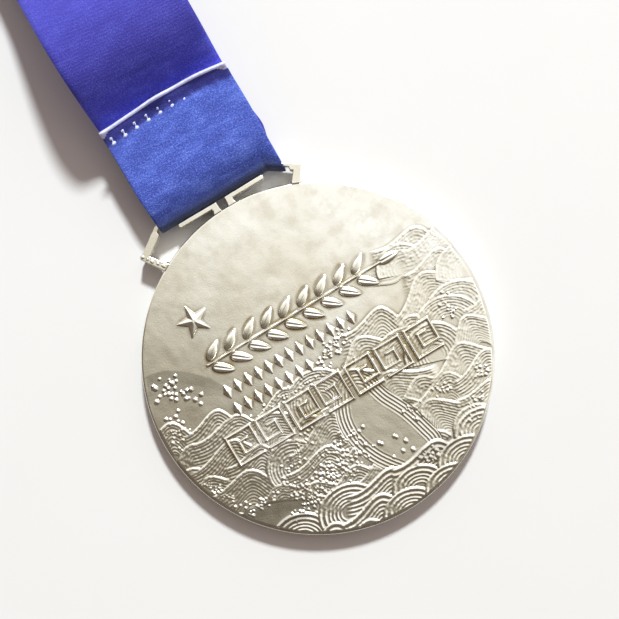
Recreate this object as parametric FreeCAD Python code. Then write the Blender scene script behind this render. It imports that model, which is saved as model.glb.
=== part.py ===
"""Award medal on a woven neck ribbon, lying on its back.

Millimetres. The origin is the centre of the disc's back face, +Z points out of the
decorated face, +Y points from the disc towards the ribbon and +X is the face's right.
"""

import FreeCAD
import Part

import math
import os

V = FreeCAD.Vector

# ---- disc ----
DISC_DIAMETER = 65.0
FIELD_HEIGHT = 3.5          # flat field of the face, above the back
RELIEF_HEIGHT = 0.5         # raised motifs stand this far above the field
EDGE_ROUND = 0.4
RIM = DISC_DIAMETER / 2

# ---- motifs on the face ----
MOTIF_ROOT = 0.3            # how far a motif reaches into the field
HOOK_CELL = 0.63            # the square hooks are laid out on cells of this size
HOOK_COUNT = 7
HOOK_PITCH = 6.35
HOOK_HALF_STROKE = 0.3
HOOK_START = (-22.2, -9.6)  # lower left corner of the first hook
HOOK_STROKES = [(0, 0, 8, 0), (0, 0, 0, 9), (0, 9, 8, 9), (8, 2.4, 8, 9), (3, 2.4, 8, 2.4),
                (3, 2.4, 3, 6.2), (3, 6.2, 5.5, 6.2)]
SPRIG_START = -18.0
SPRIG_END = 19.0
SPRIG_Y = 9.3
SPRIG_PAIRS = 9
SPRIG_HALF_STEM = 0.3
FIRST_PAIR = 2.2            # from the stem's start to its first pair of leaves
LEAF_REACH = 1.9            # from the stem's middle to a leaf's middle
TIP_REACH = 1.6             # from the stem's end to the tip leaf's middle
LEAF_LENGTH = 4.2
LEAF_WIDTH = 1.6
LEAF_LEAN = 38.0            # degrees from the stem
STAR_CENTRE = (-16.0, 17.6)
STAR_RADIUS = 3.3
STAR_NOTCH = 0.42           # inner radius as a share of the outer one

# ---- ribbon frame: a strip with a straight bar, sloping shoulders and two legs ----
BAR_TOP_Y = 36.2
BAR_WIDTH = 0.8
BAR_HALF_LENGTH = 11.7      # from the bar's middle to each bend
FRAME_X = -1.5              # the frame is soldered on a little off centre
FRAME_BOTTOM = 1.2
FRAME_TOP = 3.8
SHOULDER_LENGTH = 6.7
SHOULDER_WIDTH = 1.4
NARROW_LENGTHS = {-1: 0.8, 1: 4.5}  # each shoulder is as narrow as the bar up to here
SHOULDER_DROP = 35.0        # degrees below the bar
LEG_WIDTH = 1.3
LEG_REACH = 5.6             # legs are this long before they are trimmed to the rim
SOLDER_RADIUS = 0.75        # bead on each side of a leg's foot
SOLDER_HEIGHT = 2.1         # beads' centres above the table
BAR_MID_HEIGHT = (FRAME_BOTTOM + FRAME_TOP) / 2

# ---- keepers: L-shaped tongues between the disc and the frame ----
KEEPERS_X = -0.45           # middle of the gap between the two
KEEPER_LENGTH = 8.3
KEEPER_WIDTH = 0.95
KEEPER_TOP_Y = 34.35
KEEPER_GAP = 1.6            # between the two stems
KEEPER_STEM_WIDTH = 1.3
KEEPER_BOTTOM = 1.4
KEEPER_TOP = 3.6

# ---- ribbon ----
RIBBON_WIDTH = 25.4
RIBBON_THICK = 0.45
FOLD_CLEARANCE = 0.25       # between the ribbon and the bar's top and bottom
FOLD_LOW_Y = 34.5           # lowest edge of the loop, just above the keepers
FOLD_ROUND = 0.4            # inside radius where the ribbon turns
FOLD_BEND_X = 9.9           # from here to +X the turn follows the shoulder down
ARM_END_Y = 36.0            # the ribbon is flat above and below the bar up to here
FOLD_END_Y = 38.5           # the part that bends as the ribbon swings ends here
FRONT_LEVEL_Y = 41.0        # the front layer is level from here to its hem
FRONT_HEIGHT = 6.9          # middle of the front layer at the seam
SEAM_START_Y = 51.5         # the back layer lies against the front one from here
HEM_END_Y = 55.3
BACK_END_Y = 55.4
STITCH_ROWS = (52.75, 53.7)
STITCH_FIRST_X = -11.5
STITCH_PITCH = 2.5
STITCH_COUNT = 10
STITCH_LENGTH = 1.0
STITCH_THICK = 0.4

# ---- neck strands and the hank that holds the rest of the ribbon ----
STRAND_START_Y = 56.3
STRAND_CREST_Y = 72.0
STRAND_CREST_HEIGHT = 15.0  # middle of the upper strand
STRAND_GAP = 0.05
HANK_START_Y = 92.0
HANK_LENGTH = 76.0
HANK_WIDTH = 26.0
HANK_BOTTOM = 0.9
HANK_HEIGHT = 7.4
HANK_ROUND = 2.2
STRAND_END_DROP = 0.35      # top strand's middle below the hank's top

# ---- band round the hank ----
BAND_Y = 128.0
BAND_WIDTH = 10.0
BAND_THICK = 0.6
BAND_CLEARANCE = 0.3
BAND_ROUND = 1.6


def save(name, shape):
    """Write one named node as a STEP file."""
    shape.exportStep("parts/" + name + ".step")
    print(name, round(shape.Volume, 1), "mm3", len(shape.Solids), "solids", shape.isValid())


def box(x0, y0, z0, x1, y1, z1):
    return Part.makeBox(x1 - x0, y1 - y0, z1 - z0, V(x0, y0, z0))


def prism(wire, vector):
    return Part.Face(wire).extrude(vector)


# ---------------------------------------------------------------- disc

def relief_prism(wire):
    """A raised motif, rooted a little below the field."""
    wire.translate(V(0, 0, FIELD_HEIGHT - MOTIF_ROOT))
    return prism(wire, V(0, 0, MOTIF_ROOT + RELIEF_HEIGHT))


def leaf(x, y, angle):
    """Ellipse with its long axis turned by angle from +X."""
    shape = Part.Wire(Part.Ellipse(V(0, 0, 0), LEAF_LENGTH / 2, LEAF_WIDTH / 2).toShape())
    shape.rotate(V(0, 0, 0), V(0, 0, 1), angle)
    shape.translate(V(x, y, 0))
    return relief_prism(shape)


def laurel_sprig():
    """A straight sprig: a stem with pairs of leaves, and one leaf at its tip."""
    stem = box(SPRIG_START, SPRIG_Y - SPRIG_HALF_STEM, FIELD_HEIGHT - MOTIF_ROOT,
               SPRIG_END, SPRIG_Y + SPRIG_HALF_STEM, FIELD_HEIGHT + RELIEF_HEIGHT)
    solids = [stem, leaf(SPRIG_END + TIP_REACH, SPRIG_Y, 0)]
    pitch = (SPRIG_END - SPRIG_START - FIRST_PAIR) / SPRIG_PAIRS
    for i in range(SPRIG_PAIRS):
        x = SPRIG_START + FIRST_PAIR + i * pitch
        for side in (-1, 1):
            solids.append(leaf(x, SPRIG_Y + side * LEAF_REACH, side * LEAF_LEAN))
    return solids


def star(x, y, radius):
    """Five-pointed star with one point up."""
    inner = STAR_NOTCH * radius
    points = []
    for i in range(11):
        r = inner if i % 2 else radius
        a = math.radians(90 + 36 * i)
        points.append(V(x + r * math.cos(a), y + r * math.sin(a), 0))
    return relief_prism(Part.makePolygon(points))


def hook_strokes(unit):
    """Corners of one hook's strokes in cells; every other hook is mirrored."""
    if unit % 2 == 0:
        return HOOK_STROKES
    width = max(stroke[2] for stroke in HOOK_STROKES)
    return [(width - c1, r0, width - c0, r1) for c0, r0, c1, r1 in HOOK_STROKES]


def hook_band():
    """A row of square hooks across the face."""
    low, high = FIELD_HEIGHT - MOTIF_ROOT, FIELD_HEIGHT + RELIEF_HEIGHT
    half, cell, y = HOOK_HALF_STROKE, HOOK_CELL, HOOK_START[1]
    strokes = []
    for unit in range(HOOK_COUNT):
        x = HOOK_START[0] + unit * HOOK_PITCH
        for c0, r0, c1, r1 in hook_strokes(unit):
            strokes.append(box(x + c0 * cell - half, y + r0 * cell - half, low,
                               x + c1 * cell + half, y + r1 * cell + half, high))
    return strokes


def medal_disc():
    disc = Part.makeCylinder(RIM, FIELD_HEIGHT)
    rims = [e for e in disc.Edges if isinstance(e.Curve, Part.Circle)]
    disc = disc.makeFillet(EDGE_ROUND, rims)
    raised = laurel_sprig() + hook_band() + [star(*STAR_CENTRE, STAR_RADIUS)]
    return disc.multiFuse(raised).removeSplitter().Solids[0]


# ---------------------------------------------------------------- frame and keepers

def shoulder_way(side):
    """Unit vector down a shoulder, away from the bar."""
    drop = math.radians(SHOULDER_DROP)
    return V(side * math.cos(drop), -math.sin(drop), 0)


def leg_way(side):
    """Unit vector down a leg to the disc, square to its shoulder."""
    drop = math.radians(SHOULDER_DROP)
    return V(-side * math.sin(drop), -math.cos(drop), 0)


def bar_end(side):
    """Outer corner where the bar bends into a shoulder."""
    return V(FRAME_X + side * BAR_HALF_LENGTH, BAR_TOP_Y, FRAME_BOTTOM)


def shoulder_end(side):
    """Outer corner where a shoulder turns into a leg."""
    return bar_end(side) + shoulder_way(side) * SHOULDER_LENGTH


def frame_strip(start, length, width):
    """Flat length of the frame, from its outer corner, along and across as vectors."""
    outline = Part.makePolygon([start, start + length, start + length + width,
                                start + width, start])
    return prism(outline, V(0, 0, FRAME_TOP - FRAME_BOTTOM))


def ribbon_frame():
    """Straight bar, a shoulder down to each side and two legs soldered to the rim."""
    pieces = [frame_strip(bar_end(-1), bar_end(1) - bar_end(-1), V(0, -BAR_WIDTH, 0))]
    for side in (-1, 1):
        down, inward = shoulder_way(side), leg_way(side)
        pieces.append(frame_strip(bar_end(side), down * SHOULDER_LENGTH, inward * BAR_WIDTH))
        wide = SHOULDER_LENGTH - NARROW_LENGTHS[side]
        pieces.append(frame_strip(shoulder_end(side), inward * SHOULDER_WIDTH, down * -wide))
        pieces.append(frame_strip(shoulder_end(side), inward * LEG_REACH, down * -LEG_WIDTH))
    frame = pieces[0].multiFuse(pieces[1:]).removeSplitter()
    return frame.cut(Part.makeCylinder(RIM, FIELD_HEIGHT + RELIEF_HEIGHT)).Solids[0]


def leg_foot(side, across):
    """Where a line down a leg, some way in from its outer edge, meets the rim."""
    start, way = shoulder_end(side) - shoulder_way(side) * across, leg_way(side)
    slope = start.x * way.x + start.y * way.y
    reach = -slope - math.sqrt(slope**2 - start.x**2 - start.y**2 + RIM**2)
    return start + way * reach


def solder_beads(frame):
    """Two beads at the foot of each leg, against the leg's sides and the disc's rim."""
    beads = []
    for side in (-1, 1):
        for across in (0.0, LEG_WIDTH):
            foot = leg_foot(side, across)
            bead = Part.makeSphere(SOLDER_RADIUS, V(foot.x, foot.y, SOLDER_HEIGHT))
            bead = bead.cut(Part.makeCylinder(RIM, FIELD_HEIGHT + RELIEF_HEIGHT)).cut(frame)
            beads.append(max(bead.Solids, key=lambda s: s.Volume))
    return Part.makeCompound(beads)


def keeper(side):
    """Stem on the rim and a bar that runs outwards, with a round free end."""
    stem_in = KEEPERS_X + side * KEEPER_GAP / 2
    stem_out = stem_in + side * KEEPER_STEM_WIDTH
    bar_tip = stem_in + side * (KEEPER_LENGTH - KEEPER_WIDTH / 2)
    stem = box(min(stem_in, stem_out), RIM - 1.0, KEEPER_BOTTOM,
               max(stem_in, stem_out), KEEPER_TOP_Y, KEEPER_TOP)
    bar = box(min(stem_in, bar_tip), KEEPER_TOP_Y - KEEPER_WIDTH, KEEPER_BOTTOM,
              max(stem_in, bar_tip), KEEPER_TOP_Y, KEEPER_TOP)
    tip = Part.makeCylinder(KEEPER_WIDTH / 2, KEEPER_TOP - KEEPER_BOTTOM,
                            V(bar_tip, KEEPER_TOP_Y - KEEPER_WIDTH / 2, KEEPER_BOTTOM))
    solid = stem.multiFuse([bar, tip]).removeSplitter()
    return solid.cut(Part.makeCylinder(RIM, FIELD_HEIGHT + RELIEF_HEIGHT)).Solids[0]


# ---------------------------------------------------------------- ribbon

def fold_section(x, near, low, high, radius):
    """Rectangle in the YZ plane whose two corners nearest the disc are rounded."""
    c = radius * (1 - math.sqrt(0.5))
    far = FOLD_END_Y
    lower = Part.Arc(V(x, near + radius, low), V(x, near + c, low + c), V(x, near, low + radius))
    upper = Part.Arc(V(x, near, high - radius), V(x, near + c, high - c),
                     V(x, near + radius, high))
    edges = [
        Part.LineSegment(V(x, far, low), V(x, near + radius, low)),
        lower,
        Part.LineSegment(V(x, near, low + radius), V(x, near, high - radius)),
        upper,
        Part.LineSegment(V(x, near + radius, high), V(x, far, high)),
        Part.LineSegment(V(x, far, high), V(x, far, low)),
    ]
    return Part.Face(Part.Wire([e.toShape() for e in edges]))


def fold_hook(x0, x1, drop):
    """The turn round the bar from x0 to x1, coming down by drop on the way."""
    way = V(x1 - x0, -drop, 0)
    low, high = FRAME_BOTTOM - FOLD_CLEARANCE, FRAME_TOP + FOLD_CLEARANCE
    outside = fold_section(x0, FOLD_LOW_Y, low - RIBBON_THICK, high + RIBBON_THICK,
                           FOLD_ROUND + RIBBON_THICK)
    inside = fold_section(x0, FOLD_LOW_Y + RIBBON_THICK, low, high, FOLD_ROUND)
    return outside.extrude(way).cut(inside.extrude(way))


def ribbon_slab(y0, y1):
    """Everything across the ribbon's width between two distances from the disc."""
    half = RIBBON_WIDTH / 2
    return box(-half, y0, 0.0, half, y1, STRAND_CREST_HEIGHT)


def ribbon_fold():
    """The ribbon where it turns round the bar, with the start of each layer."""
    half = RIBBON_WIDTH / 2
    drop = (half - FOLD_BEND_X) * math.tan(math.radians(SHOULDER_DROP))
    turn = fold_hook(-half, FOLD_BEND_X, 0.0).fuse(fold_hook(FOLD_BEND_X, half, drop))
    turn = turn.common(ribbon_slab(RIM - 5.0, ARM_END_Y))
    bend = ribbon_slab(ARM_END_Y, FOLD_END_Y)
    arms = [strip.common(bend) for strip in (front_strip(), back_strip())]
    return turn.multiFuse(arms).removeSplitter().Solids[0]


def s_curve(y0, z0, y1, z1, offset):
    """Two equal tangent arcs from level to level, moved square to themselves by offset."""
    dy, dz = y1 - y0, z1 - z0
    radius = (dy * dy + dz * dz) / (4 * abs(dz))
    sweep = math.asin(dy / (2 * radius))
    up = 1 if dz > 0 else -1
    halves = [(y0, z0 + up * radius, -up, 1, (0.0, 0.5, 1.0)),
              (y1, z1 - up * radius, up, -1, (1.0, 0.5, 0.0))]
    arcs = []
    for cy, cz, sign, way, shares in halves:
        r = radius + sign * offset
        points = [V(0, cy + way * r * math.sin(t * sweep), cz + sign * r * math.cos(t * sweep))
                  for t in shares]
        arcs.append(Part.Arc(*points).toShape())
    return arcs


def ribbon_side(route, offset):
    """One side of a strip: lines where the route stays level and S-bends where it doesn't."""
    edges = []
    for (y0, z0), (y1, z1) in zip(route, route[1:]):
        if z0 == z1:
            edges.append(Part.makeLine(V(0, y0, z0 + offset), V(0, y1, z1 + offset)))
        else:
            edges += s_curve(y0, z0, y1, z1, offset)
    return edges


def ribbon_strip(route, below=0.0):
    """Strip of ribbon right across X, whose middle runs the given distance below a route."""
    low, high = -RIBBON_THICK / 2 - below, RIBBON_THICK / 2 - below
    (y0, z0), (y1, z1) = route[0], route[-1]
    caps = [Part.makeLine(V(0, y0, z0 + low), V(0, y0, z0 + high)),
            Part.makeLine(V(0, y1, z1 + low), V(0, y1, z1 + high))]
    edges = ribbon_side(route, low) + ribbon_side(route, high) + caps
    wire = Part.Wire(Part.__sortEdges__(edges))
    wire.translate(V(-RIBBON_WIDTH / 2, 0, 0))
    return prism(wire, V(RIBBON_WIDTH, 0, 0))


def arm_height(side):
    """Middle of the fold's front arm (side 1) or back arm (side -1)."""
    reach = BAR_MID_HEIGHT - FRAME_BOTTOM + FOLD_CLEARANCE + RIBBON_THICK / 2
    return BAR_MID_HEIGHT + side * reach


def front_strip():
    return ribbon_strip([(ARM_END_Y, arm_height(1)), (FRONT_LEVEL_Y, FRONT_HEIGHT),
                         (HEM_END_Y, FRONT_HEIGHT)])


def back_strip():
    height = FRONT_HEIGHT - RIBBON_THICK
    return ribbon_strip([(ARM_END_Y, arm_height(-1)), (SEAM_START_Y, height),
                         (BACK_END_Y, height)])


def beyond_fold(strip):
    """The rigid rest of a layer, past the part that bends."""
    return strip.common(ribbon_slab(FOLD_END_Y, BACK_END_Y)).Solids[0]


def seam_stitches():
    """Thread that shows on the front layer: two rows of short stitches with round ends."""
    top = FRONT_HEIGHT + RIBBON_THICK / 2
    r = STITCH_THICK / 2
    half = STITCH_LENGTH / 2 - r
    solids = []
    for y in STITCH_ROWS:
        for i in range(STITCH_COUNT):
            x = STITCH_FIRST_X + i * STITCH_PITCH
            bar = Part.makeCylinder(r, 2 * half, V(x - half, y, top + r), V(1, 0, 0))
            ends = [Part.makeSphere(r, V(x + s * half, y, top + r)) for s in (-1, 1)]
            solids.append(bar.multiFuse(ends).removeSplitter().Solids[0])
    return Part.makeCompound(solids)


def neck_strand(level):
    """Strand 0 is the upper one and 1 the lower; both arch from the seam to the hank."""
    end = HANK_BOTTOM + HANK_HEIGHT - STRAND_END_DROP
    route = [(STRAND_START_Y, FRONT_HEIGHT - RIBBON_THICK),
             (STRAND_CREST_Y, STRAND_CREST_HEIGHT), (HANK_START_Y, end)]
    return ribbon_strip(route, level * (RIBBON_THICK + STRAND_GAP))


def ribbon_hank():
    """The rest of the neck ribbon, folded to and fro into a flat bundle."""
    half = HANK_WIDTH / 2
    hank = box(-half, HANK_START_Y, HANK_BOTTOM,
               half, HANK_START_Y + HANK_LENGTH, HANK_BOTTOM + HANK_HEIGHT)
    ends = [e for e in hank.Edges
            if e.BoundBox.XLength > 1 and not is_entry_edge(e)]
    return hank.makeFillet(HANK_ROUND, ends)


def is_entry_edge(edge):
    """The edge where the strands run onto the top of the hank stays sharp."""
    bounds = edge.BoundBox
    top = HANK_BOTTOM + HANK_HEIGHT
    return abs(bounds.ZMin - top) < 0.01 and abs(bounds.YMin - HANK_START_Y) < 0.01


def hank_band():
    """Flat band round the hank, free to slide off its far end."""
    reach_x = HANK_WIDTH / 2 + BAND_CLEARANCE
    low, high = HANK_BOTTOM - BAND_CLEARANCE, HANK_BOTTOM + HANK_HEIGHT + BAND_CLEARANCE
    y0 = BAND_Y - BAND_WIDTH / 2
    inner = box(-reach_x, y0, low, reach_x, y0 + BAND_WIDTH, high)
    outer = box(-reach_x - BAND_THICK, y0, low - BAND_THICK,
                reach_x + BAND_THICK, y0 + BAND_WIDTH, high + BAND_THICK)
    along = [e for e in inner.Edges if e.BoundBox.YLength > 1]
    inner = inner.makeFillet(BAND_ROUND - BAND_THICK, along)
    along = [e for e in outer.Edges if e.BoundBox.YLength > 1]
    return outer.makeFillet(BAND_ROUND, along).cut(inner)


os.makedirs("parts", exist_ok=True)
save("medal_disc", medal_disc())
metal_frame = ribbon_frame()
save("ribbon_frame", metal_frame)
save("solder_beads", solder_beads(metal_frame))
save("keeper_left", keeper(-1))
save("keeper_right", keeper(1))
save("ribbon_fold", ribbon_fold())
save("ribbon_front_layer", beyond_fold(front_strip()))
save("ribbon_back_layer", beyond_fold(back_strip()))
save("seam_stitches", seam_stitches())
save("neck_strand_upper", neck_strand(0))
save("neck_strand_lower", neck_strand(1))
save("ribbon_hank", ribbon_hank())
save("hank_band", hank_band())
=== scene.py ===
"""Looks of the award medal: relief disc, soldered frame, woven ribbon, hank and band.

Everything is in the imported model's frame, whose origin is under the disc's middle. Shapes are
worked out in millimetres, which new_object and MM turn into metres.
"""

import math

import bpy
import numpy as np
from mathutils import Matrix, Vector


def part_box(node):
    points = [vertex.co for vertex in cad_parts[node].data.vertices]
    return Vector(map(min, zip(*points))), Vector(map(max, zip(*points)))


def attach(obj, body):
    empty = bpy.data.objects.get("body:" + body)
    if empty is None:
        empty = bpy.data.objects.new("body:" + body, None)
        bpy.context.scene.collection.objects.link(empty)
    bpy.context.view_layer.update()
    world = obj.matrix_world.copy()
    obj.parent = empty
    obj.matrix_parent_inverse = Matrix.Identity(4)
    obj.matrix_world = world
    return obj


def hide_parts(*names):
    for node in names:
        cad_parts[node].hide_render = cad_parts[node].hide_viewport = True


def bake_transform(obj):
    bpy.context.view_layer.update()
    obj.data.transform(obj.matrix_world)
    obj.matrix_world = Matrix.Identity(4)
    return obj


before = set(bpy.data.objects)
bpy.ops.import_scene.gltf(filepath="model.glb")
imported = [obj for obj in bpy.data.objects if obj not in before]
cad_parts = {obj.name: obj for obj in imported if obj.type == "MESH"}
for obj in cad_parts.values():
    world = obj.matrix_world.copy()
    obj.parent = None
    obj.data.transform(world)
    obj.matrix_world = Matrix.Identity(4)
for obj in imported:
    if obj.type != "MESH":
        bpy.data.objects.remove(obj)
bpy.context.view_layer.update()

MM = 0.001

# ---- sizes from the frame ----

disc_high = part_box("medal_disc")[1]
frame_low, frame_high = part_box("ribbon_frame")
keeper_boxes = {-1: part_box("keeper_left"), 1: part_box("keeper_right")}
front_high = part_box("ribbon_front_layer")[1]
hank_low, hank_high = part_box("ribbon_hank")
band_low, band_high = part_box("hank_band")

RIM = disc_high.x / MM
RELIEF = 0.5  # the highest motifs stand this far above the field
FIELD = disc_high.z / MM - RELIEF
BAR_TOP_Y = frame_high.y / MM
BAR_WIDTH = 0.8
BAR_HALF = 11.7  # half the bar's length
FRAME_X = (frame_low.x + frame_high.x) / 2 / MM
SHOULDER = 6.7  # a shoulder's length
SHOULDER_WIDTH = 1.4
NARROW_LENGTHS = {-1: 0.8, 1: 4.5}  # each shoulder is as narrow as the bar up to here
SHOULDER_DROP = math.radians(35)
LEG_WIDTH = 1.3
FOOT_FLARE, FOOT_SINK = 0.12, 0.15  # a foot spreads this much and goes this far into the rim
STEM_WIDTH = 1.3  # of a keeper
BAR_LOW, BAR_HIGH = frame_low.z / MM, frame_high.z / MM
RIBBON_HALF = front_high.x / MM
RIBBON_THICK = 0.42
CAD_HALF_THICK = 0.225  # of the CAD ribbon
FOLD_LOW_Y = 34.5  # the fold's edge above the keepers
FOLD_BEND_X = 9.9  # from here out, the fold follows the right shoulder
HEM_END = front_high.y / MM
SEAM_Z = front_high.z / MM - CAD_HALF_THICK
STITCH_ROWS = (HEM_END - 2.55, HEM_END - 1.6)
STITCHES = [-11.5 + 2.5 * k for k in range(10)]  # how far across each one is


# ---- mesh helpers ----

def add_to_scene(name, data):
    """A new object in the scene that shows this data."""
    made = bpy.data.objects.new(name, data)
    bpy.context.scene.collection.objects.link(made)
    return made


def new_object(name, points, faces, materials):
    """Smooth mesh object from points in millimetres and lists of vertex indices."""
    mesh = bpy.data.meshes.new(name)
    mesh.from_pydata((np.asarray(points, float) * MM).tolist(), [], faces)
    mesh.polygons.foreach_set("use_smooth", [True] * len(mesh.polygons))
    for material in materials:
        mesh.materials.append(material)
    mesh.update()
    return add_to_scene(name, mesh)


def ring_faces(rings, around):
    """Faces between one ring of points and the next, for points numbered ring by ring."""
    faces = []
    for i in range(rings - 1):
        for k in range(around):
            a, b = i * around + k, i * around + (k + 1) % around
            faces.append([a, b, b + around, a + around])
    return faces


def store(made, name, values):
    """Keep one number per point, or per row of points, on a piece for its material."""
    attribute = made.data.attributes.new(name, "FLOAT", "POINT")
    per_value = len(made.data.vertices) // len(values)
    attribute.data.foreach_set("value", np.repeat(values, per_value).astype(np.float32))


def smooth_step(t):
    t = np.clip(t, 0, 1)
    return t * t * (3 - 2 * t)


def value_noise(x, y, cell, seed):
    """Smooth noise from -1 to 1 whose bumps are about a cell across."""
    table = np.random.default_rng(seed).uniform(-1, 1, (256, 256))
    u, v = np.asarray(x) / cell + 101.3, np.asarray(y) / cell + 57.7
    i, j = np.floor(u).astype(int), np.floor(v).astype(int)
    right, up = smooth_step(u - i), smooth_step(v - j)
    i, j = i % 256, j % 256
    i_next, j_next = (i + 1) % 256, (j + 1) % 256
    low = table[i, j] * (1 - right) + table[i_next, j] * right
    high = table[i, j_next] * (1 - right) + table[i_next, j_next] * right
    return low * (1 - up) + high * up


def distance_along(p):
    """Distance from a polyline's first point to each of its points."""
    return np.concatenate([[0], np.cumsum(np.linalg.norm(np.diff(p, axis=0), axis=1))])


def resample(p, step):
    """The same polyline with points at an even step along it."""
    length = distance_along(p)
    count = max(2, int(round(length[-1] / step)) + 1)
    at = np.linspace(0, length[-1], count)
    return np.column_stack([np.interp(at, length, p[:, k]) for k in range(p.shape[1])])


def spline(points, step):
    """Catmull-Rom curve through the points, resampled at an even step."""
    p = np.asarray(points, float)
    p = np.vstack([2 * p[0] - p[1], p, 2 * p[-1] - p[-2]])
    t = np.linspace(0, 1, 25)[:-1, None]
    spans = []
    for a, b, c, d in zip(p, p[1:], p[2:], p[3:]):
        spans.append(0.5 * (2 * b + (c - a) * t + (2 * a - 5 * b + 4 * c - d) * t**2
                            + (3 * b - a - 3 * c + d) * t**3))
    return resample(np.vstack(spans + [p[-2:-1]]), step)


def path_normals(p):
    """Left-hand normals of a path in a plane."""
    d = np.gradient(p, axis=0)
    d /= np.linalg.norm(d, axis=1)[:, None]
    return np.column_stack([-d[:, 1], d[:, 0]])


# ---- face relief ----

WAVE_SEED = 19
WAVE_PITCH = 9.2  # from one wave to the next along a row
ROW_STEP = 3.5  # from one row to the next
THICK_RIDGE = 1.0  # pitch of the ridges in a wave's outline
FINE_RIDGE = 0.85  # height of the ridges behind the outline, as a share of its own
BANK_PITCH = 0.64  # pitch of the ridges beside smooth water
WAVE_BASE = 0.03  # lowest water, above the field
WAVE_TILT = 0.14  # how much higher a wave is at its top edge
STEP = 0.16  # width of the step round a wave or motif
PLAIN_RIM = 0.36  # the relief ends this far in from the rim
FIFTH = 2 * math.pi / 5


def paint(height, where, value, soft):
    """Raise height to value where a signed distance is negative, with soft edges."""
    share = smooth_step(-where / soft)
    return height * (1 - share) + np.maximum(height, value) * share


def ridges(depth, outline, pitch):
    """From 0 to 1: thick ridges along the outline, then finer ones behind them."""
    thick = 0.5 - 0.5 * np.cos(2 * math.pi * depth / THICK_RIDGE)
    fine = 0.5 - 0.5 * np.cos(2 * math.pi * (depth - outline) / pitch)
    return np.where(depth < outline, thick, FINE_RIDGE * fine**1.3)


def turned(x, y, centre, lean):
    """Coordinates along and across a shape that is turned by an angle."""
    c, s = math.cos(lean), math.sin(lean)
    dx, dy = x - centre[0], y - centre[1]
    return dx * c + dy * s, -dx * s + dy * c


def lay_wave(height, inside, depth, radius, share, pattern):
    """Paint a wave, highest at its top edge, over what is behind it."""
    tilt = WAVE_BASE + WAVE_TILT * np.clip(1 - depth / radius, 0, 1) ** 2
    edge = smooth_step(depth / STEP) * share
    height[inside] = height[inside] * (1 - edge) + (tilt + pattern) * edge
    return height


def wave_fan(height, x, y, centre, radius, lean, squeeze, outline, pitch, relief):
    """One fan of concentric ridges, plain in its middle."""
    u, v = turned(x, y, centre, lean)
    r = np.hypot(u, v / squeeze)
    inside = (r < radius) & (v > -0.2 * radius)
    r = r[inside]
    depth = radius - r
    pattern = relief * ridges(depth, outline, pitch) * smooth_step((r / radius - 0.16) / 0.2)
    return lay_wave(height, inside, depth, radius, 1.0, pattern)


def wave_hill(height, x, y, centre, radius, lean, squeeze, outline, pitch, relief):
    """A round-topped wave with flared feet, whose ridges repeat its outline."""
    u, v = turned(x, y, centre, lean)
    width, rise = 0.80 * radius, 0.95 * radius * squeeze
    bell = rise * np.exp(-(u / width) ** 2)
    slope = 2 * u / width**2 * bell
    depth = (bell - 0.25 * rise - v) / np.sqrt(1 + 0.8 * slope**2)
    inside = (depth > 0) & (depth < 1.1 * radius) & (np.abs(u) < 1.5 * radius)
    depth = depth[inside]
    share = smooth_step((1.5 * radius - np.abs(u[inside])) / 1.6)
    return lay_wave(height, inside, depth, radius, share, relief * ridges(depth, outline, pitch))


def wave_line(x):
    """How high the waves reach up the face at x."""
    return np.interp(x, [-33, -19, -14, 3, 9, 15, 20, 25, 33],
                     [4.5, 3.5, -1.5, -2.0, 1.5, 2.5, 7.0, 12.5, 13.5])


def waves(height, x, y):
    """Uneven rows of hills and a few fans, from back to front."""
    rng = np.random.default_rng(WAVE_SEED)
    for row in range(11):
        for k in range(-5, 6):
            cx = (k + 0.5 * (row % 2)) * WAVE_PITCH + rng.uniform(-1.5, 1.5)
            radius, squeeze = rng.uniform(4.6, 6.6), rng.uniform(0.80, 1.05)
            lean, cy = rng.uniform(-0.55, 0.12), 9.6 - ROW_STEP * row + rng.uniform(-1.1, 1.1)
            kind = wave_hill if rng.uniform() < 0.72 else wave_fan
            pitch = rng.uniform(0.55, 0.65)
            if cy + 0.5 * radius < wave_line(cx) and math.hypot(cx, cy) < RIM + 3:
                worn = np.interp(cx + cy, [14, 30], [1.0, 0.5])
                height = kind(height, x, y, (cx, cy), radius, lean, squeeze, pitch, pitch,
                              worn * rng.uniform(0.022, 0.040))
    return height


def large_waves(height, x, y):
    """Front rows, with a double outline."""
    rng = np.random.default_rng(5)
    for cy, shift in ((-27.3, 0.0), (-30.4, 4.6), (-33.5, 0.0)):
        for k in range(-4, 4):
            cx = k * 9.3 + shift + rng.uniform(-0.9, 0.9)
            kind = wave_hill if rng.uniform() < 0.8 else wave_fan
            height = kind(height, x, y, (cx, cy), rng.uniform(5.4, 6.4),
                          rng.uniform(-0.50, 0.0), 0.85, 2 * THICK_RIDGE, 0.72, 0.105)
    return height


def swath(height, smooth_water_shade, x, y, line, level, pool_shade, bands):
    """A smooth stretch of water with a few ridges that follow its banks."""
    inner = np.full(x.shape, -99.0)
    for px, py, width in spline(line, 0.8):
        inner = np.maximum(inner, width - np.hypot(x - px, y - py))
    bank = -inner
    beside = smooth_step((bands * BANK_PITCH - bank) / STEP) * (bands > 0)
    banks = WAVE_BASE + 0.07 * ridges(bank, 0.0, BANK_PITCH)
    height = height * (1 - beside) + banks * beside
    share = smooth_step(inner / 0.5)
    hollow = level - 0.02 * np.clip(inner / 2.5, 0, 1)
    # the second value is the painted shade on smooth water
    return height * (1 - share) + hollow * share, np.maximum(smooth_water_shade, share * pool_shade)


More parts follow.
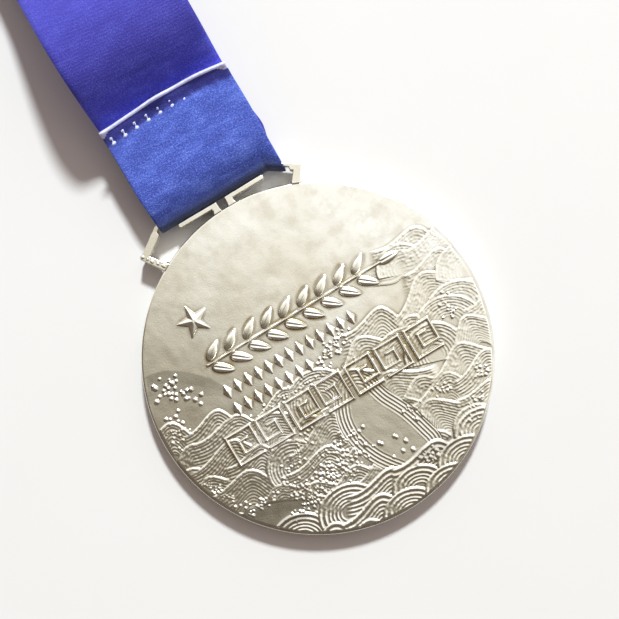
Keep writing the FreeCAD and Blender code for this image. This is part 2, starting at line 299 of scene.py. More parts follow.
# each cluster's middle, spread along and across, turn, number of drops and largest radius
FOAM = [((-26.0, 8.6), (4.4, 1.6), -0.75, 30, 0.44), ((-29.0, 1.0), (1.6, 3.6), 0.1, 34, 0.36),
        ((-8.5, -19.4), (6.6, 2.2), 0.05, 130, 0.42), ((-13.5, -21.6), (3.4, 1.2), 0.2, 40, 0.40),
        ((-12.5, -13.2), (4.4, 1.1), 0.5, 46, 0.36), ((-28.2, -12.0), (0.9, 4.0), 0.5, 40, 0.34),
        ((-22.0, -17.6), (3.6, 0.7), 0.15, 34, 0.34), ((-6.0, -15.6), (4.6, 0.6), 0.1, 40, 0.36),
        ((-8.0, -2.9), (6.4, 0.9), 0.0, 60, 0.30), ((3.5, 0.6), (5.0, 1.2), 0.3, 40, 0.34),
        ((10.6, -17.0), (1.4, 1.5), 0.0, 22, 0.38), ((16.6, -16.6), (1.5, 1.2), 0.2, 20, 0.38),
        ((20.4, -22.0), (2.2, 1.1), 0.4, 26, 0.40), ((24.6, -17.6), (1.2, 1.2), 0.2, 16, 0.36),
        ((8.4, -25.4), (2.0, 1.2), 0.0, 22, 0.58), ((4.8, -22.0), (2.0, 1.4), 0.0, 5, 0.60),
        ((25.0, -4.5), (1.4, 2.2), 0.0, 18, 0.36)]


def foam(height, x, y):
    """Clusters of small round drops, thrown where they don't crowd one another."""
    rng = np.random.default_rng(23)
    most_tries, margin, closest, base, rise = 3000, 1.2, 0.72, 0.08, 0.40
    for (cx, cy), (sx, sy), turn, count, size in FOAM:
        kept, tries = [], 0
        while len(kept) < count and tries < most_tries:
            tries += 1
            a, b = rng.normal(0, 0.62, 2) * (sx, sy)
            px = cx + a * math.cos(turn) - b * math.sin(turn)
            py = cy + a * math.sin(turn) + b * math.cos(turn)
            r = size * rng.uniform(0.38, 1.00)
            if math.hypot(px, py) > RIM - margin:
                continue
            if all(math.hypot(px - qx, py - qy) > closest * (r + qr) for qx, qy, qr in kept):
                kept.append((px, py, r))
        for px, py, r in kept:
            near = np.hypot(x - px, y - py)
            inside = near < r
            dome = np.sqrt(np.clip(1 - (near[inside] / r) ** 2, 0, 1))
            height[inside] = np.maximum(height[inside], base + rise * r * dome)
    return height


def facets(height, gap, base, rise, width, soft):
    """Paint a motif whose sides slope up from its outline to a ridge this far in."""
    return paint(height, gap, base + rise * np.clip(-gap / width, 0, 1), soft)


def star_motif(height, x, y, centre, radius):
    """Five points with a ridge along each, like a folded star."""
    dx, dy = x - centre[0], y - centre[1]
    r, turn = np.hypot(dx, dy), np.arctan2(dx, dy)
    fold = np.abs((turn + FIFTH / 2) % FIFTH - FIFTH / 2)
    px, py = r * np.cos(fold), r * np.sin(fold)
    inner = 0.42 * radius
    ix, iy = inner * math.cos(FIFTH / 2), inner * math.sin(FIFTH / 2)
    length = math.hypot(radius - ix, iy)
    gap = ((px - radius) * iy + py * (radius - ix)) / length
    return facets(height, gap, base=0.22, rise=0.30, width=0.9, soft=STEP)


def leaf_motif(height, x, y, centre, lean):
    """A pillowed leaf with a groove down its middle."""
    long, wide, taper = 2.15, 0.85, 0.35
    base, pillow, groove = 0.24, 0.28, 0.10
    u, v = turned(x, y, centre, lean)
    u = u / long
    v = v / (wide * (1 - taper * np.clip(u, -1, 1)))
    reach = np.hypot(u, v)
    body = base + pillow * np.sqrt(np.clip(1 - reach**2, 0, 1))
    body -= groove * np.exp(-((v / 0.16) ** 2)) * (np.abs(u) < 0.9)
    return paint(height, (reach - 1) * wide, body, STEP)


def stroke(height, x, y, x0, y0, x1, y1, half, top, soft):
    """A raised bar along the line between two points, square at its ends."""
    dx = np.abs(x - (x0 + x1) / 2) - abs(x1 - x0) / 2 - half
    dy = np.abs(y - (y0 + y1) / 2) - abs(y1 - y0) / 2 - half
    return paint(height, np.maximum(dx, dy), top, soft)


def sprig_motif(height, x, y):
    """Straight sprig across the face: stem, nine pairs of leaves and a tip leaf."""
    start, end, level, pairs, lean = -18.0, 19.0, 9.3, 9, math.radians(38)
    bare, aside, ahead = 2.2, 1.9, 1.6
    height = stroke(height, x, y, start, level, end, level, half=0.26, top=0.36, soft=0.2)
    for i in range(pairs):
        at = start + bare + i * (end - start - bare) / pairs
        for side in (-1, 1):
            height = leaf_motif(height, x, y, (at, level + side * aside), side * lean)
    return leaf_motif(height, x, y, (end + ahead, level), 0.0)


def lozenge_rows(height, x, y):
    """Two rows of small faceted lozenges."""
    first, pitch, half_width, half_height = -17.4, 2.2, 0.85, 1.45
    for level, count in ((3.3, 13), (-0.4, 8)):
        for i in range(count):
            reach = np.abs(x - first - pitch * i) / half_width + np.abs(y - level) / half_height
            height = facets(height, 0.7 * (reach - 1), base=0.16, rise=0.34, width=0.6, soft=0.12)
    return height


def key_band(height, x, y):
    """A row of square hooks, every other one mirrored."""
    first, bottom, units, pitch = -22.2, -9.6, 7, 6.35
    cell, half, soft = 0.63, 0.30, 0.22
    hook = [(0, 0, 0, 9), (0, 9, 8, 9), (8, 2.4, 8, 9), (3, 2.4, 8, 2.4), (3, 2.4, 3, 6.2),
            (3, 6.2, 5.5, 6.2), (0, 0, 8, 0)]  # strokes of one unit, in cells
    for unit in range(units):
        left = first + unit * pitch
        for c0, r0, c1, r1 in hook:
            if unit % 2:
                c0, c1 = 8 - c1, 8 - c0
            height = stroke(height, x, y, left + c0 * cell, bottom + r0 * cell,
                            left + c1 * cell, bottom + r1 * cell, half, RELIEF, soft)
    return height


# each pool's middle line with its half widths, its level, painted shade and ridges beside it
POOLS = [([(2.8, -9.5, 1.9), (2.6, -14, 3.4), (4.2, -18.5, 3.9), (6.6, -23.5, 3.0)], 0.05, 0.15, 4),
         ([(7.0, -25.0, 1.6), (11.5, -26.0, 1.3), (15.5, -24.5, 0.6)], 0.05, 0.7, 0),
         ([(-26, -18.6, 1.6), (-21.5, -20.6, 2.6), (-16, -22.5, 2.0)], 0.03, 1.15, 0),
         ([(-31, 12, 2.0), (-26, 10.4, 2.4), (-21.5, 7.0, 2.2), (-18, 3.6, 1.2)], 0.0, 0.8, 0)]


def face_height(x, y):
    """Height of the relief above the field in millimetres, and the painted shade on smooth water."""
    height, smooth_water_shade = waves(np.zeros(x.shape), x, y), np.zeros(x.shape)
    for pool in POOLS:
        height, smooth_water_shade = swath(height, smooth_water_shade, x, y, *pool)
    height = large_waves(height, x, y)
    # a fine grain on the waves, and further down a slow unevenness all over
    grain = value_noise(x, y, 0.42, 8) * smooth_step((height - 0.04) / 0.05)
    height = foam(height + 0.016 * grain, x, y)
    height = star_motif(height, x, y, (-16.0, 17.6), 3.3)
    for motif in (sprig_motif, lozenge_rows, key_band):
        height = motif(height, x, y)
    height += 0.006 * value_noise(x, y, 3.4, 3) + 0.002 * value_noise(x, y, 0.9, 4)
    return height * smooth_step((RIM - PLAIN_RIM - np.hypot(x, y)) / 0.4), smooth_water_shade


def disc_grid(cells):
    """A square grid mapped onto the unit disc, with cells of even area."""
    t = np.linspace(-1, 1, cells + 1)
    a, b = np.meshgrid(t, t, indexing="ij")
    wide = np.abs(a) > np.abs(b)
    radius = np.where(wide, a, b)
    safe = np.where(radius == 0, 1.0, radius)
    turn = np.where(wide, math.pi / 4 * b / safe, math.pi / 2 - math.pi / 4 * a / safe)
    return radius * np.cos(turn), radius * np.sin(turn)


def grid_loop(cells):
    """Indices round the outside of the grid, anticlockwise."""
    n = cells + 1
    bottom = [i * n for i in range(cells)]
    right = [cells * n + j for j in range(cells)]
    top = [i * n + cells for i in range(cells, 0, -1)]
    return bottom + right + top + list(range(cells, 0, -1))


def blurred(grid, reach):
    """Mean over a square of neighbours."""
    for axis in (0, 1):
        padded = np.pad(grid, [(reach, reach) if k == axis else (0, 0) for k in (0, 1)], "edge")
        grid = sum(np.roll(padded, s, axis) for s in range(-reach, reach + 1)) / (2 * reach + 1)
        grid = np.take(grid, range(reach, grid.shape[axis] - reach), axis)
    return grid


def medal_disc(material):
    """Relief face, rounded rim and plain back in one closed mesh."""
    cells = 540
    edge = 0.32  # rounding of the rim
    inner = RIM - edge
    x, y = (grid * inner for grid in disc_grid(cells))
    height, smooth_water_shade = face_height(x, y)
    points = [np.column_stack([x.ravel(), y.ravel(), (FIELD + height).ravel()])]
    n = cells + 1
    corner = (np.arange(cells)[:, None] * n + np.arange(cells)[None, :]).ravel()
    faces = np.column_stack([corner, corner + n, corner + n + 1, corner + 1]).tolist()
    loop = grid_loop(cells)
    ring_xy = points[0][loop, :2] / inner
    turns = [math.pi / 2 * k / 4 for k in range(1, 5)]
    profile = [(inner + edge * math.sin(t), FIELD - edge + edge * math.cos(t)) for t in turns]
    profile += [(inner + edge * math.cos(t), edge - edge * math.sin(t)) for t in [0.0] + turns]
    last, total = loop, n * n
    for r, z in profile:
        points.append(np.column_stack([ring_xy * r, np.full(len(loop), z)]))
        ring = list(range(total, total + len(loop)))
        total += len(loop)
        faces += [[last[k - 1], ring[k - 1], ring[k], last[k]] for k in range(len(loop))]
        last = ring
    faces.append(last[::-1])
    made = new_object("medal_disc_relief", np.vstack(points), faces, [material])
    reach = 5
    # for the material: how far below its surroundings a point lies, and the painted shade on smooth water
    for name, values in (("hollow", blurred(height, reach) - height), ("smooth_water_shade", smooth_water_shade)):
        store(made, name, np.pad(values.ravel(), (0, total - n * n)))
    return made


# ---- frame, keepers, solder ----

def plate(name, outline, low, high, bevel, material):
    """A flat metal piece with a given outline and rounded edges."""
    n = len(outline)
    points = [(x, y, low) for x, y in outline] + [(x, y, high) for x, y in outline]
    faces = [list(range(n))[::-1], list(range(n, 2 * n))] + ring_faces(2, n)
    made = new_object(name, points, faces, [material])
    rounding = made.modifiers.new("rounded edges", "BEVEL")
    rounding.width, rounding.segments, rounding.limit_method = bevel * MM, 3, "ANGLE"
    rounding.angle_limit = math.radians(25)
    rounding.harden_normals = True
    return made


def bar_bend(side, inset):
    """Where the bar turns into a shoulder, this far in from the outer edge."""
    return FRAME_X + side * (BAR_HALF - inset * math.tan(SHOULDER_DROP / 2)), BAR_TOP_Y - inset


def shoulder_point(side, along, inset):
    """A point this far down a shoulder and this far in from its outer edge."""
    c, s = math.cos(SHOULDER_DROP), math.sin(SHOULDER_DROP)
    return (FRAME_X + side * (BAR_HALF + along * c - inset * s),
            BAR_TOP_Y - along * s - inset * c)


def leg_foot(side, across, sink):
    """Where a line down a leg, some way in from its outer edge, gets this far into the rim."""
    x, y = shoulder_point(side, SHOULDER - across, 0.0)
    down_x, down_y = -side * math.sin(SHOULDER_DROP), -math.cos(SHOULDER_DROP)
    slope = x * down_x + y * down_y
    reach = -slope - math.sqrt(slope**2 - x * x - y * y + (RIM - sink) ** 2)
    return x + down_x * reach, y + down_y * reach


def wavering(points, seed, step=0.9, swing=0.035):
    """The same outline with extra points that wander a little, as on hand-bent strip."""
    rng = np.random.default_rng(seed)
    out = []
    for (x0, y0), (x1, y1) in zip(points, points[1:]):
        length = math.hypot(x1 - x0, y1 - y0)
        count = max(1, int(length / step))
        for k in range(count):
            w = rng.uniform(-swing, swing) if k else 0.0
            out.append((x0 + (x1 - x0) * k / count - w * (y1 - y0) / length,
                        y0 + (y1 - y0) * k / count + w * (x1 - x0) / length))
    return out + [points[-1]]


def frame_side(side):
    """Outer edge from a foot up to the bar, and inner edge from the bar down to the foot."""
    narrow = NARROW_LENGTHS[side]
    outer = [leg_foot(side, -FOOT_FLARE, FOOT_SINK), shoulder_point(side, SHOULDER, 0.0),
             bar_bend(side, 0.0)]
    inner = [bar_bend(side, BAR_WIDTH), shoulder_point(side, narrow, BAR_WIDTH),
             shoulder_point(side, narrow + 0.35, SHOULDER_WIDTH),
             shoulder_point(side, SHOULDER - LEG_WIDTH, SHOULDER_WIDTH),
             leg_foot(side, LEG_WIDTH + FOOT_FLARE, FOOT_SINK)]
    return outer, inner


def frame_outline():
    """Straight bar, two sloping shoulders and two legs, whose feet go just into the rim."""
    (left_out, left_in), (right_out, right_in) = frame_side(-1), frame_side(1)
    return wavering(left_out + right_out[::-1] + right_in[::-1] + left_in, 3)[::-1]


def keeper_reach(side):
    """How far from the middle a keeper's stem starts and its tip ends."""
    return sorted(abs(corner.x) / MM for corner in keeper_boxes[side])


def keeper_outline(side):
    """Stem out of the rim, then a bar that ends in a round tip."""
    stem_in, tip = keeper_reach(side)
    stem_out, foot = stem_in + STEM_WIDTH, RIM - 0.2
    top, width = keeper_boxes[side][1].y / MM, 0.95
    half = width / 2
    round_tip = [(tip - half + half * math.sin(a), top - half + half * math.cos(a))
                 for a in np.linspace(0, math.pi, 9)]
    points = [(stem_in - 0.15, foot), (stem_in, foot + 0.7), (stem_in + 0.05, top - 0.05)]
    points += round_tip + [(stem_out + 0.15, top - width), (stem_out + 0.05, top - width - 0.35),
                           (stem_out + 0.35, foot)]
    return points[::-1] if side > 0 else [(-x, y) for x, y in points]


def keeper(name, side, material):
    """One keeper, from the bottom to the top of its CAD node."""
    low, high = keeper_boxes[side]
    return plate(name, keeper_outline(side), low.z / MM, high.z / MM, 0.2, material)


def blob(centre, radii, turn, seed, lumps=0.16, rings=14, sectors=20):
    """Points and faces of a lumpy rounded drop of solder."""
    lat, lon = np.meshgrid(np.linspace(0, math.pi, rings + 1),
                           2 * math.pi * np.arange(sectors) / sectors, indexing="ij")
    d = np.stack([np.sin(lat) * np.cos(lon), np.sin(lat) * np.sin(lon), np.cos(lat)], axis=2)
    swell = value_noise(2.1 * d[..., 0] + seed, 2.1 * d[..., 1] + 3 * d[..., 2], 1.0, seed)
    p = (d * radii * (1 + lumps * swell[..., None])).reshape(-1, 3)
    c, s = math.cos(turn), math.sin(turn)
    points = np.column_stack([p[:, 0] * c - p[:, 1] * s, p[:, 0] * s + p[:, 1] * c, p[:, 2]]) + centre
    return points, [[a, d, c, b] for a, b, c, d in ring_faces(rings + 1, sectors)]


def joined(name, parts, material):
    """Several parts, each its points and faces, as one piece."""
    points, faces = [], []
    for part_points, part_faces in parts:
        faces += [[v + len(points) for v in face] for face in part_faces]
        points.extend(part_points)
    return new_object(name, points, faces, [material])


def solder(material):
    """Beads at the legs' feet, on the left leg and at the keepers' stems."""
    blobs = []
    for side in (-1, 1):
        for across, size in ((-0.05, 0.60), (LEG_WIDTH + 0.05, 0.52)):
            x, y = leg_foot(side, across, -0.1)
            blobs.append(blob((x, y, 2.1), (size, 0.46, 1.0), 0.4 * side, 7 + side))
        stem = side * (keeper_reach(side)[0] + STEM_WIDTH / 2)
        blobs.append(blob((stem, RIM + 0.02, 2.4), (0.95, 0.26, 0.95), 0.0, 12 + side))
    (x0, y0), (x1, y1) = shoulder_point(-1, SHOULDER - 0.6, 0.3), leg_foot(-1, 0.7, -0.2)
    for k, (share, size) in enumerate([(0.0, 0.50), (0.22, 0.40), (0.43, 0.52), (0.68, 0.40),
                                       (0.93, 0.54)]):
        at = (x0 + (x1 - x0) * share, y0 + (y1 - y0) * share, BAR_HIGH - 0.14)
        blobs.append(blob(at, (size, size * 0.85, 0.34), 0.5 * k, 20 + k))
    return joined("solder_beads_metal", blobs, material)


# ---- ribbon ----

def swept(path, across):
    """The way across and both coordinates of a plane path, as grids with a row per point."""
    over, first = np.meshgrid(across, path[:, 0])
    return over, first, np.repeat(path[:, 1:], len(across), 1)


def surface_normals(grid):
    """Unit normals of a grid of points: across by along."""
    n = np.cross(np.gradient(grid, axis=1), np.gradient(grid, axis=0))
    return n / np.linalg.norm(n, axis=2, keepdims=True)


def strip(name, x, y, z, across, half_thick, materials, facing=-1, fused=0.0):
    """A closed strip round a grid of points, whose rows run along it.

    UVs hold the distance across and along in millimetres. Slot 0 is the side that the grid's
    normals point to, or away from where facing is -1. Slot 1 is the other side, and slot 2 the
    heat-cut ends, which reach a fused distance in from the first row."""
    middle = np.stack([x, y, z], axis=2)
    rows, columns = x.shape
    along = distance_along(middle[:, columns // 2])
    # the fused end is about twice as deep at its corners, and thicker; the sides are thinner
    fused = fused * (1 + 1.1 * smooth_step((across - across.max() + 2.2) / 2.0)
                     + 1.0 * smooth_step((across.min() + 1.4 - across) / 1.4))
    swell = 1 + 0.55 * (along < fused.min())
    edge = 1 - 0.35 * smooth_step((np.abs(across) - across.max() + 0.5) / 0.5)
    offset = facing * surface_normals(middle) * (half_thick * swell[:, None] * edge)[:, :, None]
    top, bottom = middle + offset, middle - offset
    selvedge = 0.12
    side = middle[:, -1:] - middle[:, -2:-1]
    side = side / np.linalg.norm(side, axis=2, keepdims=True) * selvedge
    first, last = middle[:, :1] - side, middle[:, -1:] + side
    ring = np.concatenate([first, top, last, bottom[:, ::-1]], axis=1)
    width = ring.shape[1]
    fused = np.concatenate([fused[:1], fused, fused[-1:], fused[::-1]])
    over = np.concatenate([across[:1] - selvedge, across, across[-1:] + selvedge, across[::-1]])
    faces = ring_faces(rows, width)
    slots = [2 if along[i + 1] < fused[k] else int(k > columns)
             for i in range(rows - 1) for k in range(width)]
    cap = [[k + 1, width - k - 1, width - k - 2, k + 2] for k in range(columns - 1)]
    cap += [[0, width - 1, 1], [columns + 1, columns, columns + 2]]
    for start, way in ((0, 1), (width * (rows - 1), -1)):
        faces += [[start + v for v in face[::way]] for face in cap]
    slots += [2] * (len(faces) - len(slots))
    made = new_object(name, ring.reshape(-1, 3), faces, materials)
    made.data.polygons.foreach_set("material_index", slots)
    uvs = [(over[v % width], along[v // width]) for face in faces for v in face]
    layer = made.data.uv_layers.new(name="strip")
    layer.data.foreach_set("uv", np.array(uvs, np.float32).ravel())
    return made


def loop_path():
    """Front layer from its hem down to the bar, round it, and the back layer up to the seam."""
    web = FOLD_LOW_Y + CAD_HALF_THICK
    over, under = BAR_HIGH + 0.07 + RIBBON_THICK / 2, BAR_LOW - 0.07 - RIBBON_THICK / 2
    front = [(HEM_END + 0.05, 1.70), (54.6, 1.18), (53.9, 0.62), (53.2, 0.14), (52.6, -0.04),
             (51.2, 0.12), (49.0, 0.18), (46.0, 0.12), (43.4, 0.14), (41.2, 0.02), (39.6, -0.25),
             (38.3, -0.75), (37.2, -1.45), (36.2, -2.20)]
    turn = [(35.4, over + 0.12), (web + 0.22, over - 0.45), (web, over - 1.1), (web, under + 0.75),
            (web + 0.2, under + 0.2), (web + 0.8, under - 0.02), (36.4, under - 0.05),
            (38.6, under + 0.20), (41.5, under + 1.15), (44.6, under + 2.7), (47.8, under + 4.3)]
    back = [(50.8, -1.08), (52.8, -0.92), (54.8, -0.90)]
    return [(y, SEAM_Z + z) for y, z in front] + turn + [(y, SEAM_Z + z) for y, z in back]


def hem_arch(x):
    """How far the sewn end falls back towards the disc at x."""
    return -(0.75 + 0.25 * x / RIBBON_HALF) * (x / RIBBON_HALF) ** 2


def ribbon_loop(materials):
    """The stretch of ribbon round the bar, up to the seam on both sides."""
    step = 0.25
    columns = 121
    path = spline(loop_path(), step)
    across = np.linspace(-RIBBON_HALF, RIBBON_HALF, columns)
    x, y, z = swept(path, across)
    # rows past the fold's edge are the back layer
    turn = int(np.argmin(path[:, 0] + 100 * (path[:, 1] < 2.0)))
    back = (np.arange(len(path)) > turn)[:, None]
    # both layers bulge and wave once they are past the bar
    lift = smooth_step((y - 37.0) / 5.0)
    bulge = 0.20 * np.cos(x / RIBBON_HALF * 1.4) * lift * np.where(back, -0.5, 1.0)
    wave = 0.14 * value_noise(x, y + 30 * back, 7.0, 31) + 0.06 * value_noise(x, y, 2.6, 32)
    z = z + bulge + wave * lift * (1 - 0.7 * smooth_step((y - 50.5) / 2.0))
    # the front layer puffs up between its stitches, and its hem is uneven
    for sx in STITCHES:
        near = np.exp(-(((x - sx - 1.25) / 0.55) ** 2 + ((y - STITCH_ROWS[0]) / 0.75) ** 2))
        z = z + 0.13 * near * (~back)
    hem = smooth_step((y - 53.8) / 1.5) * (~back)
    z = z + 0.28 * hem * value_noise(x, y * 0 + 1, 4.2, 37)
    # the fold follows the right shoulder, and the hem bows towards the disc
    down_shoulder = np.maximum(0, x - FOLD_BEND_X) * math.tan(SHOULDER_DROP)
    loose = 0.12 * value_noise(x, y * 0, 5.0, 33)
    y = y + (loose - down_shoulder) * (1 - smooth_step((y - 35.6) / 3.5))
    y = y + hem_arch(x) * smooth_step((y - 45) / 8.0)
    # the back layer shows at the right, and both widen and drift right towards the seam
    x = x + 0.55 * back * np.exp(-(((y - 42.5) / 2.4) ** 2))
    x = x * (1 + 0.012 * smooth_step((y - 38) / 5.0)) + 0.12 * smooth_step((y - 40) / 8.0)
    made = strip("ribbon_loop_cloth", x, y, z, across, RIBBON_THICK / 2, materials, fused=0.72)
    # painted shade where the cloth turns down round the bar into the slot
    store(made, "fold_shade", smooth_step((37.4 - path[:, 0]) / 3.0) * (path[:, 1] > BAR_LOW))
    # painted shade on the hem band and, a little lighter, on the back layer underneath
    cloth_shade = smooth_step((path[:, 0] - STITCH_ROWS[0] + 0.2) / 0.7) * (path[:, 1] > SEAM_Z - 0.3)
    store(made, "cloth_shade", np.maximum(cloth_shade, 0.8 * back[:, 0]))
    return made, distance_along(path)[-1]


def pair_path():
    """Middle line of the two strands: from the seam, over an arch, then to and fro."""
    near, far = hank_low.y / MM, hank_high.y / MM
    top, pitch, runs, fold = hank_high.z / MM - 0.75, 1.5, 5, 0.75
    start = [(52.1, SEAM_Z - 0.82), (54.2, SEAM_Z - 0.80), (55.7, SEAM_Z - 0.45), (57.4, 8.0),
             (59.5, 10.2), (61.8, 12.5), (64.8, 14.2), (68.4, 15.0), (72.5, 14.9),
             (78.0, 13.2), (84.0, 10.4), (89.0, 8.5), (94.0, top + 0.1), (100.0, top)]
    points = list(spline(start, 0.8))
    rng = np.random.default_rng(41)
    for run in range(runs):
        level = top - pitch * run
        forward = run % 2 == 0
        end = (far - 1.3 if forward else near + 1.6) + rng.uniform(-0.9, 0.9)
        if run == runs - 1:
            end = far - 14.0
        begin = points[-1][0]
        count = int(abs(end - begin))
        points += [(begin + (end - begin) * k / count, level) for k in range(1, count + 1)]
        if run < runs - 1:
            way = 1 if forward else -1
            turns = np.linspace(0, math.pi, 12)[1:]
            points += [(end + way * fold * math.sin(t), level - fold + fold * math.cos(t)) for t in turns]
    line = np.array(points)
    line[:, 1] += (line[:, 0] > near + 4) * 0.13 * value_noise(line[:, 0], 0 * line[:, 0], 14.0, 43)
    return line


def neck_ribbon(materials):
    """Both strands and the hank: out along the pair's one side and back along the other."""
    line = resample(pair_path(), 0.9)
    normal = path_normals(line)
    gap = 0.27  # each strand's distance from the middle line, a little more by the seam
    spread = gap + 0.17 * (1 - smooth_step((line[:, :1] - 54.6) / 2.5)) * (line[:, 1:] > 4.5)
    upper, lower = line + normal * spread, line - normal * spread
    ahead = line[-1] - line[-2]
    ahead /= np.linalg.norm(ahead)
    turns = np.linspace(0, math.pi, 9)[1:-1]
    cap = [line[-1] + gap * (normal[-1] * math.cos(t) + ahead * math.sin(t)) for t in turns]
    path = np.vstack([upper, cap, lower[::-1]])
    columns = 29
    across = np.linspace(-RIBBON_HALF, RIBBON_HALF, columns)
    along = distance_along(path)
    drift = 0.35 * value_noise(along, 0 * along, 60.0, 47) * smooth_step((path[:, 0] - 70) / 20)
    x, y, z = swept(path, across)
    x = x + drift[:, None]
    camber = smooth_step((y - 55) / 6) * (1 - smooth_step((y - 84) / 8))
    z = z + 0.45 * camber * (1 - (across[None, :] / RIBBON_HALF) ** 2)
    z = z + 0.25 * camber * value_noise(x, y, 9.0, 48)
    made = strip("neck_ribbon_cloth", x, y, z, across, RIBBON_THICK / 2, materials)
    # painted shade on the strands, darker from a little past the seam
    store(made, "cloth_shade", 0.9 * smooth_step((path[:, 0] - 58.8) / 3.6))
    return made, along[-1]


def thread_tube(points, radius, sides=8):
    """Points and faces of a short tube with closed ends along a list of points."""
    p = np.asarray(points, float)
    d = np.gradient(p, axis=0)
    d /= np.linalg.norm(d, axis=1)[:, None]
    right = np.cross(d, (0.0, 0.0, 1.0))
    right /= np.linalg.norm(right, axis=1)[:, None]
    lift = np.cross(right, d)
    a = 2 * math.pi * np.arange(sides)[:, None] / sides
    circles = np.cos(a) * right[:, None] + np.sin(a) * lift[:, None]
    out = (p[:, None] + radius * circles).reshape(-1, 3)
    ends = [list(range(sides))[::-1], list(range(len(out) - sides, len(out)))]
    return out, ring_faces(len(p), sides) + ends


def seam_thread(material):
    """Two rows of short stitches, deeper in the cloth towards both sides."""
    pieces = []
    top = SEAM_Z + RIBBON_THICK / 2
    low_row, high_row = STITCH_ROWS
    for sx in STITCHES:
        arch, sink = hem_arch(sx), 0.10 + 0.42 * smooth_step((abs(sx + 5.0) - 4.0) / 12.0)
        for row, radius, half, rise in ((low_row, 0.33, 0.26, 0.17), (high_row, 0.22, 0.24, 0.66)):
            arc = [(sx + half * t, row + arch + 0.16 * t, top + rise - sink - 0.30 * t * t)
                   for t in np.linspace(-1, 1, 9)]
            pieces.append(thread_tube(arc, radius))
        link = [(sx - 0.10 + 0.2 * t, low_row + arch + (high_row - low_row) * t,
                 top + 0.14 - sink + 0.5 * t * t) for t in np.linspace(0, 1, 5)]
        pieces.append(thread_tube(link, 0.17))
    return joined("seam_thread_stitches", pieces, material)


# ---- band ----

def band_path():
    """Round the hank once, in the XZ plane, with the end lapped over the start on top."""
    half = hank_high.x / MM + 0.28
    low, high, r = band_low.z / MM + 0.17, band_high.z / MM - 0.42, 1.3
    corners = [(half, high, 90), (half, low, 0), (-half, low, -90), (-half, high, -180)]
    points = [(-4.5, high)]
    for cx, cz, start in corners:
        ox, oz = cx - math.copysign(r, cx), (high - r if cz == high else low + r)
        for k in range(9):
            a = math.radians(start - 90 * k / 8)
            points.append((ox + r * math.cos(a), oz + r * math.sin(a)))
    points += [(-half + 3.5, high), (-6.0, high + 0.06), (-4.9, high + 0.33), (-3.5, high + 0.34),
               (3.2, high + 0.34)]
    return points


def hank_band(material):
    """A thin flat band with an overlapped end."""
    path = resample(np.array(band_path(), float), 0.5)
    half = (band_high.y - band_low.y) / MM / 2 - 0.1
    across = np.linspace(-half, half, 15)
    y, x, z = swept(path, across + (band_high.y + band_low.y) / MM / 2)
    return strip("hank_band_paper", x, y, z, across, 0.15, [material] * 3, facing=1)


# ---- materials ----

class Nodes:
    """Short calls for building a material's or the world's node tree."""

    def __init__(self, owner, shader="Principled BSDF"):
        self.owner = owner
        owner.use_nodes = True
        self.tree = owner.node_tree
        self.shader = self.tree.nodes[shader]

    def add(self, kind, **inputs):
        """A node with inputs set by name, each to a value or to another node's output."""
        node = self.tree.nodes.new(kind)
        for key, value in inputs.items():
            self.feed(node, key, value)
        return node

    def feed(self, node, key, value):
        socket = node.inputs[key.replace("_", " ")] if isinstance(key, str) else node.inputs[key]
        if isinstance(value, bpy.types.NodeSocket):
            self.tree.links.new(value, socket)
        else:
            socket.default_value = value

    def math(self, operation, a, b=0.0):
        node = self.tree.nodes.new("ShaderNodeMath")
        node.operation = operation
        self.feed(node, 0, a)
        self.feed(node, 1, b)
        return node.outputs[0]

    def remap(self, value, low, high, to_low=0.0, to_high=1.0):
        node = self.tree.nodes.new("ShaderNodeMapRange")
        for k, v in enumerate((value, low, high, to_low, to_high)):
            self.feed(node, k, v)
        return node.outputs[0]

    def mix(self, share, a, b, blend="MIX"):
        node = self.tree.nodes.new("ShaderNodeMix")
        node.data_type, node.blend_type = "RGBA", blend
        self.feed(node, 0, share)
        for k, v in ((6, a), (7, b)):
            self.feed(node, k, (*v, 1.0) if isinstance(v, tuple) and len(v) == 3 else v)
        return node.outputs[2]

    def scaled(self, vector, *scale):
        return self.add("ShaderNodeMapping", Vector=vector, Scale=scale).outputs[0]

    def noise(self, vector, scale, detail=3.0, rough=0.5):
        node = self.add("ShaderNodeTexNoise", Vector=vector, Scale=scale, Detail=detail,
                        Roughness=rough)
        return node.outputs[0]

    def attribute(self, name):
        node = self.add("ShaderNodeAttribute")
        node.attribute_name = name
        return node.outputs["Fac"]

    def bump(self, height, distance, strength, normal=None):
        node = self.add("ShaderNodeBump", Height=height, Distance=distance, Strength=strength)
        if normal is not None:
            self.feed(node, "Normal", normal)
        return node.outputs[0]

    def place(self):
        """The point on the piece in metres, in the model's frame at rest."""
        return self.add("ShaderNodeTexCoord").outputs["Object"]

    def finish(self, **inputs):
        """Set the shader's inputs, and give the finished material or world."""
        for key, value in inputs.items():
            self.feed(self.shader, key, value)
        return self.owner


def new_material(name):
    return Nodes(bpy.data.materials.new(name))


MOTTLE = (0.64, 0.59, 0.475)
# painted shade colour for the relief's hollows
HOLLOW_SHADE = (0.31, 0.245, 0.14)
# painted highlight colour for the relief's raised edges
RIDGE_HIGHLIGHT = (0.99, 0.975, 0.92)
# painted shade colour for smooth water
POOL_SHADE_COLOUR = (0.46, 0.44, 0.39)


